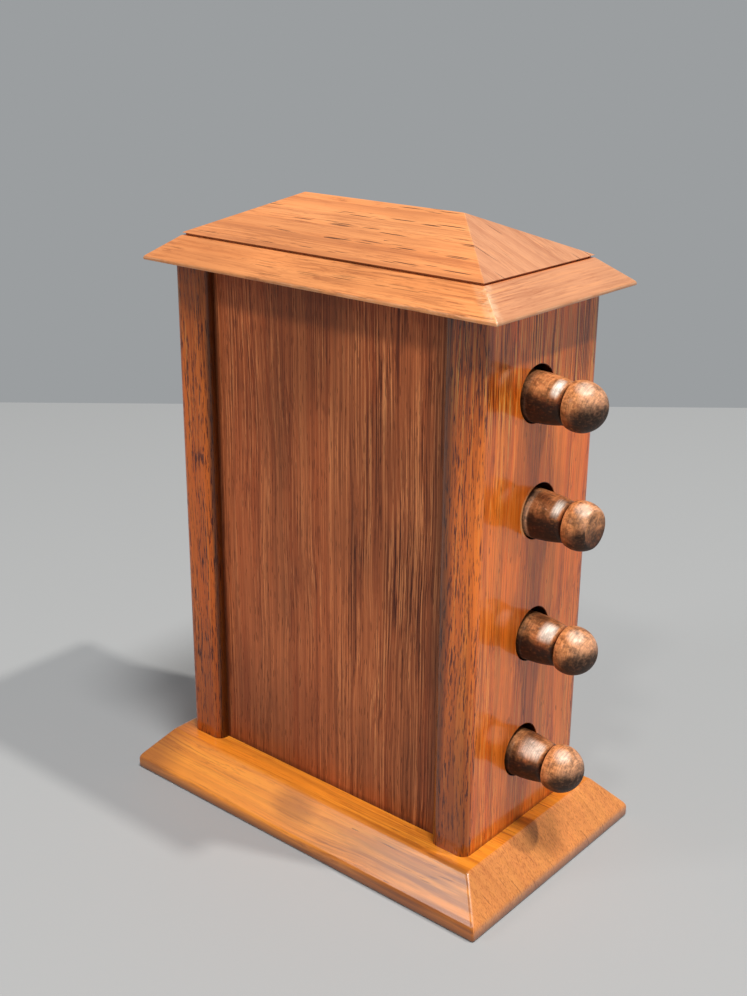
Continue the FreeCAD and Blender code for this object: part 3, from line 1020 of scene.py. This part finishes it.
def cornice_board(front_material, end_material):
    """Eave board bevelled all round, whose grain turns at the mitres."""
    low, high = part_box("cornice_board")
    roof_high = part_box("roof_block")[1]
    bm = block(low, Vector((high.x, high.y, low.z + EAVE_EDGE)))
    draw_up(bm, high.z - low.z - EAVE_EDGE, high.x - roof_high.x, high.y - roof_high.y)
    faces = soften(bm, sharp_edges(bm), EAVE_SOFT, segments=4)
    bm.normal_update()
    near_tip = Vector((high.x, low.y, low.z))
    rim = [f for f in faces if f.calc_center_median().z < low.z + EAVE_EDGE]
    mitres = [f for f in faces if looks_to_corner(f)]
    tip = [f for f in faces if (f.calc_center_median() - near_tip).length < WORN_AND_LIT_TIP]
    ends = end_faces(bm)
    # Pale rim, mitres and tip: wear, with the mitres and the tip partly a painted highlight.
    mark(bm, "wear_and_light", rim, 0.2)
    mark(bm, "wear_and_light", mitres, 0.75)
    mark(bm, "wear_and_light", tip, 1.0)
    mark(bm, "end_grain", ends, 1.0)
    for face in ends:
        face.material_index = 1
    materials = [front_material, end_material]
    finish_piece("cornice_board_worn", bm, materials, "lid", "cornice_board")


def roof_block(material):
    """Hipped block drawn up to a ridge, on a slightly smaller foot that leaves a shadow line."""
    low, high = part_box("roof_block")
    inset = Vector((SHADOW_DEPTH, SHADOW_DEPTH, 0.0))
    bm = block(low + inset, Vector((high.x, high.y, low.z + SHADOW_GAP)) - inset)
    draw_up(bm, 0.0, -SHADOW_DEPTH, -SHADOW_DEPTH)
    draw_up(bm, high.z - low.z - SHADOW_GAP, high.y, high.y)
    bmesh.ops.remove_doubles(bm, verts=bm.verts, dist=MERGE_WITHIN)
    faces = soften(bm, sharp_edges(bm), FINE_EDGE, segments=3)
    bm.normal_update()
    hips = [f for f in faces if looks_to_corner(f) and f.normal.z > 0.5]
    mark(bm, "wear_and_light", hips, 0.12)
    mark(bm, "end_grain", end_faces(bm), 1.0)
    finish_piece("roof_block_worn", bm, [material], "lid", "roof_block")


# Turned pegs

def pen_line(bm, vert, along, out):
    """Draw a peg's outline on, straight to a place along and out from its axis."""
    tip = bmesh.ops.extrude_vert_indiv(bm, verts=[vert])["verts"][0]
    tip.co = Vector((along, 0.0, out))
    return tip


def pen_arc(bm, vert, along, out, angle, steps):
    """Draw a peg's outline on, round a middle along and out from its axis."""
    made = bmesh.ops.spin(
        bm,
        geom=[vert],
        cent=(along, 0.0, out),
        axis=(0.0, 1.0, 0.0),
        angle=angle,
        steps=steps,
        use_duplicate=False,
    )
    return [v for v in made["geom_last"] if isinstance(v, bmesh.types.BMVert)][0]


def draw_peg(bm, cut):
    """Half outline of a peg along +X, from the middle of its tail to the middle of its knob's end."""
    knob_middle = SHANK_SHOW + GROOVE_WIDTH + KNOB_BACK
    back_angle = math.asin(KNOB_BACK / KNOB_RADIUS)
    rim_from_middle = KNOB_RADIUS - KNOB_END_ROUND
    rim_angle = math.acos((rim_from_middle - cut) / rim_from_middle)
    rim_along = knob_middle + rim_from_middle - cut
    rim_out = rim_from_middle * math.sin(rim_angle)
    round_start = SHANK_SHOW - SHANK_EDGE_ROUND

    pen = bm.verts.new((TAIL_END, 0.0, 0.0))
    pen = pen_line(bm, pen, TAIL_END, TAIL_RADIUS)
    pen = pen_line(bm, pen, SHOULDER, TAIL_RADIUS)
    pen = pen_line(bm, pen, SHOULDER, SHANK_RADIUS)
    pen = pen_line(bm, pen, 0.0, SHANK_RADIUS)
    for share in LIP_STOPS:
        pen = pen_line(bm, pen, share * SHANK_LIP, SHANK_RADIUS)
    for share in TAPER_STOPS:
        along = SHANK_LIP + share * (round_start - SHANK_LIP)
        out = SHANK_RADIUS - share ** 2 * (SHANK_RADIUS - SHANK_END_RADIUS)
        pen = pen_line(bm, pen, along, out)
    pen = pen_arc(bm, pen, round_start, SHANK_END_RADIUS - SHANK_EDGE_ROUND, math.pi / 2, steps=8)
    pen = pen_line(bm, pen, GROOVE_MIDDLE, SHANK_END_RADIUS - GROOVE_DEPTH)
    back_out = KNOB_RADIUS * math.cos(back_angle)
    pen = pen_line(bm, pen, SHANK_SHOW + GROOVE_WIDTH, back_out)
    pen = pen_arc(bm, pen, knob_middle, 0.0, math.pi / 2 + back_angle - rim_angle, steps=18)
    pen = pen_arc(bm, pen, rim_along, rim_out, rim_angle, steps=6)
    pen = pen_line(bm, pen, pen.co.x, 0.4 * rim_out)
    pen_line(bm, pen, pen.co.x, 0.0)


def near(value, middle, width):
    """One at the middle, falling away either side of it."""
    return math.exp(-((value - middle) / width) ** 2)


def smooth(value, low, high):
    """Nothing up to the low, one from the high on, and a smooth rise between."""
    share = min(max((value - low) / (high - low), 0.0), 1.0)
    return share * share * (3 - 2 * share)


def shank_marks(vert, index):
    """How far a place on the shank is rubbed and painted lighter on top, painted with a highlight near
    its end, and painted black as shade underneath and near the root.
    """
    along = vert.co.x
    up = vert.normal.z
    rubbed_and_lit = 0.7 * smooth(up - 0.3 * vert.normal.y, 0.3, 0.95)
    highlight_start = SHANK_SHOW - HIGHLIGHT_LENGTHS[index]
    painted_highlight = smooth(along, highlight_start, highlight_start + 0.4 * HIGHLIGHT_LENGTHS[index])
    painted_highlight *= smooth(SHANK_SHOW - along, HIGHLIGHT_END, HIGHLIGHT_END + HIGHLIGHT_FADE)
    painted_highlight *= HIGHLIGHT_SHARES[index] * smooth(vert.normal.dot(SHANK_HIGHLIGHT_SIDE), 0.8, 1.0)
    root = 1.0 - smooth(along, 0.0, ROOT_SHADE_LENGTH)
    shade_below = smooth(0.25 * root - up, -0.42, 0.0)
    return rubbed_and_lit, painted_highlight, shade_below


def ball_marks(vert, cut):
    """The same on the ball: lighter above as rubbing and painted light, a painted highlight and sheen,
    and painted shade below; a flat end is marked like a place that hardly looks outwards.
    """
    height = vert.co.z / KNOB_RADIUS
    outward = min(vert.normal.x, 0.5)
    painted_highlight = 0.3 * smooth(vert.normal.dot(BALL_HIGHLIGHT_SIDE), 0.88, 0.99)
    if cut > FLAT_CUT and vert.normal.x > 0.95:
        outward = 0.17
    else:
        painted_highlight = max(painted_highlight, 0.09 * smooth(vert.normal.dot(BALL_SHEEN_SIDE), 0.45, 0.9))
    rubbed_and_lit = 0.9 * smooth(height - 0.5 * outward, -0.85, 0.45)
    shade_below = smooth(0.8 * outward - height, -0.12, 0.42)
    shade_below *= 0.4 + 0.6 * smooth(outward, 0.0, 0.35)
    return rubbed_and_lit, painted_highlight, shade_below


def waver(vert, out, index):
    """Sink a place a little towards the peg's axis, as a hand-held chisel does."""
    where = vert.co / WAVER_PITCH + Vector((7.0 * index, 0.0, 0.0))
    sink = WAVER_DEPTH * (0.5 + 0.5 * noise.noise(where))
    vert.co.y *= (out - sink) / out
    vert.co.z *= (out - sink) / out


def hand_turn(bm, index, cut):
    """Mark where a peg is rubbed and painted lighter above, where a highlight is painted, and where
    shade is painted black below and in the groove, and let its round waver.
    """
    wear_and_light = bm.verts.layers.float.new("wear_and_light")
    painted_highlight = bm.verts.layers.float.new("painted_highlight")
    painted_shade = bm.verts.layers.float.new("painted_shade")
    bm.normal_update()
    for vert in bm.verts:
        along = vert.co.x
        out = math.hypot(vert.co.y, vert.co.z)
        if along > GROOVE_MIDDLE:
            rubbed_and_lit, highlight_share, shade_below = ball_marks(vert, cut)
        else:
            rubbed_and_lit, highlight_share, shade_below = shank_marks(vert, index)
        # Pale lip ring: rubbing, and partly a painted highlight; painted shade in the groove.
        lip_rub_and_highlight = LIP_RUB_AND_HIGHLIGHT[index] * near(along, SHANK_LIP / 2, LIP_FADE)
        lip_rub_and_highlight *= smooth(vert.normal.dot(LIP_SIDE), 0.1, 0.7)
        groove_shade = near(along, GROOVE_MIDDLE, GROOVE_SHADE_WIDTH)
        groove_shade *= smooth(SHANK_END_RADIUS - out, 0.0, SHANK_EDGE_ROUND)
        vert[wear_and_light] = max(rubbed_and_lit, lip_rub_and_highlight)
        vert[painted_highlight] = max(highlight_share, 0.15 * lip_rub_and_highlight)
        vert[painted_shade] = max(0.95 * shade_below, groove_shade) * (1.0 - lip_rub_and_highlight)
        if along > SHANK_LIP and out > NEAR_AXIS:
            waver(vert, out, index)


def turned_peg(index, material):
    """One peg, turned about its own axis and set in its hole."""
    bm = bmesh.new()
    cut = KNOB_END_CUTS[index]
    draw_peg(bm, cut)
    bmesh.ops.spin(
        bm,
        geom=list(bm.verts) + list(bm.edges),
        cent=(0.0, 0.0, 0.0),
        axis=(1.0, 0.0, 0.0),
        angle=2 * math.pi,
        steps=TURNING_STEPS,
        use_merge=True,
        use_duplicate=False,
    )
    bmesh.ops.remove_doubles(bm, verts=bm.verts, dist=MERGE_WITHIN)
    bmesh.ops.recalc_face_normals(bm, faces=bm.faces)
    hand_turn(bm, index, cut)
    place = Matrix.Translation((PEG_FACE, PEG_SIDES[index], PEG_HEIGHTS[index]))
    bmesh.ops.transform(bm, matrix=place @ Matrix.Rotation(PEG_DROOP, 4, "Y"), verts=bm.verts)
    name = PEG_NAMES[index]
    finish_piece(name + "_turned", bm, [material], name + "_body", name)


# The whole box

def dress_lid():
    """The cornice and the hipped roof."""
    cornice_front = roof_wood(
        "cornice_wood",
        "X",
        rings=0.2,
        lines=0.4,
        pore_strength=0.25,
        shift=23.0,
        tone=1.04,
        # Painted falloff shade along the cornice front.
        stain_and_shade=painted_falloff,
        rub_and_highlight_place=mitre_rub_and_highlight,
    )
    cornice_end = roof_wood(
        "cornice_end_wood",
        "Y",
        rings=0.15,
        lines=0.4,
        pore_strength=0.15,
        shift=47.0,
        tone=1.02,
        rub_and_highlight_place=mitre_rub_and_highlight,
    )
    roof = roof_wood(
        "roof_wood",
        "X",
        rings=0.45,
        lines=0.34,
        pore_strength=0.9,
        shift=0.0,
        tone=0.985,
        ring_width=4.6,
    )
    cornice_board(cornice_front, cornice_end)
    roof_block(roof)


def dress_case():
    """The base, the end boards and the long panels."""
    peg_board = case_wood(
        "peg_board_wood",
        tone=1.0,
        shift=0.0,
        stain_and_shade=peg_board_shade,
        coat=0.74,
        rub_and_highlight_place=hole_rim_rub_and_highlight,
    )
    rear_board = case_wood(
        "rear_board_wood",
        tone=0.885,
        shift=81.0,
        stain_and_shade=rear_board_shade,
        coat=0.4,
    )
    panel = panel_wood()
    base_board(base_wood())
    dress("peg_end_board", peg_board)
    dress("rear_end_board", rear_board)
    dress("front_panel", panel)
    dress("back_panel", panel)


def dress_works():
    """The pegs, and what is inside the box or holds it together."""
    upright = inner_wood("Z", "inner_upright")
    lengthways = inner_wood("X", "inner_lengthways")
    crossways = inner_wood("Y", "inner_crossways")
    brass = metal("brass", srgb(214, 172, 92), roughness=0.22)
    steel = metal("steel", srgb(176, 174, 168), roughness=0.3)
    stained = peg_finish()
    for node in ("guide_board", "compartment_wall", "lock_slat", "roof_dowels"):
        dress(node, upright)
    dress("lid_plug", lengthways)
    dress("slat_cleat", crossways)
    dress("slat_screws", brass)
    dress("base_screws", steel)
    for index, name in enumerate(PEG_NAMES):
        turned_peg(index, stained)
        dress(name + "_collar", lengthways)
        dress(name + "_pin", brass)


# Table, room, light and camera

def plain(name, colour, roughness):
    """One even colour all over."""
    s = Shader(name)
    s.surface.inputs["Base Color"].default_value = colour
    s.surface.inputs["Roughness"].default_value = roughness
    return s.material


def floor():
    """Pale table top that ends where the wall begins."""
    bm = bmesh.new()
    depth = FLOOR_REACH + FLOOR_BACK
    middle = Vector((0.0, FLOOR_BACK - depth / 2, 0.0))
    turn = Matrix.Rotation(VIEW_AZIMUTH, 4, "Z")
    place = turn @ Matrix.Translation(middle) @ Matrix.Diagonal((FLOOR_REACH, depth / 2, 1.0, 1.0))
    bmesh.ops.create_grid(bm, x_segments=1, y_segments=1, size=1.0, matrix=place)
    mesh = bpy.data.meshes.new("table_top")
    bm.to_mesh(mesh)
    bm.free()
    mesh.materials.append(plain("table_grey", srgb(*TABLE_GREY), roughness=0.6))
    table = bpy.data.objects.new("table_top", mesh)
    bpy.context.scene.collection.objects.link(table)


def room():
    """Grey wall for the eye and in the gloss, soft cool light for everything else."""
    world = bpy.data.worlds.new("room")
    bpy.context.scene.world = world
    world.use_nodes = True
    nodes = world.node_tree.nodes
    links = world.node_tree.links
    nodes.clear()
    wall = nodes.new("ShaderNodeBackground")
    wall.inputs["Color"].default_value = srgb(*WALL_GREY)
    air = nodes.new("ShaderNodeBackground")
    air.inputs["Color"].default_value = AIR_COLOUR
    air.inputs["Strength"].default_value = AIR_STRENGTH
    path = nodes.new("ShaderNodeLightPath")
    seen = path.outputs["Is Camera Ray"]
    for ray in ("Is Glossy Ray", "Is Transmission Ray"):
        either = nodes.new("ShaderNodeMath")
        either.operation = "MAXIMUM"
        links.new(seen, either.inputs[0])
        links.new(path.outputs[ray], either.inputs[1])
        seen = either.outputs[0]
    choose = nodes.new("ShaderNodeMixShader")
    links.new(seen, choose.inputs["Fac"])
    links.new(air.outputs[0], choose.inputs[1])
    links.new(wall.outputs[0], choose.inputs[2])
    output = nodes.new("ShaderNodeOutputWorld")
    links.new(choose.outputs[0], output.inputs["Surface"])


def lamp(name, place, size, power, colour=WHITE_LIGHT):
    """Round soft lamp turned to the box."""
    light = bpy.data.lights.new(name, "AREA")
    light.shape = "DISK"
    light.size = size
    light.energy = power
    light.color = colour
    holder = bpy.data.objects.new(name, light)
    holder.location = place
    holder.rotation_euler = (LAMPS_AIM - Vector(place)).to_track_quat("-Z", "Y").to_euler()
    holder.visible_camera = False
    bpy.context.scene.collection.objects.link(holder)


def lights():
    """Places and sizes in metres, power in watts."""
    lamp("overhead_lamp", place=(0.645, -0.32, 2.145), size=0.45, power=33.0)
    lamp("ceiling_spot", place=(1.005, 0.33, 2.10), size=0.1, power=24.0, colour=WARM_LIGHT)
    lamp("front_lamp", place=(0.50, -1.25, 1.80), size=0.2, power=6.4, colour=WARM_LIGHT)
    lamp("window", place=(-0.57, -1.0, 0.82), size=0.35, power=2.4)


def camera():
    """Camera at the photograph's viewpoint."""
    look = Vector((
        -math.sin(VIEW_AZIMUTH) * math.cos(VIEW_ELEVATION),
        math.cos(VIEW_AZIMUTH) * math.cos(VIEW_ELEVATION),
        -math.sin(VIEW_ELEVATION),
    ))
    level = Vector((math.cos(VIEW_AZIMUTH), math.sin(VIEW_AZIMUTH), 0.0))
    upright = level.cross(look)
    right = math.cos(VIEW_ROLL) * level + math.sin(VIEW_ROLL) * upright
    up = math.cos(VIEW_ROLL) * upright - math.sin(VIEW_ROLL) * level
    place = level * VIEW_ASIDE + Vector((0.0, 0.0, VIEW_HEIGHT)) - look * VIEW_DISTANCE
    data = bpy.data.cameras.new("camera")
    data.sensor_fit = "VERTICAL"
    data.sensor_height = SENSOR_HEIGHT
    data.lens = FOCAL_PIXELS / PICTURE_HEIGHT * SENSOR_HEIGHT
    data.clip_start = NEAREST_SEEN
    holder = bpy.data.objects.new("camera", data)
    turn = Matrix((right, up, -look)).transposed().to_4x4()
    holder.matrix_world = Matrix.Translation(place) @ turn
    bpy.context.scene.collection.objects.link(holder)
    bpy.context.scene.camera = holder


bpy.context.scene.view_settings.view_transform = "Standard"
camera()
floor()
room()
lights()
dress_case()
dress_lid()
dress_works()
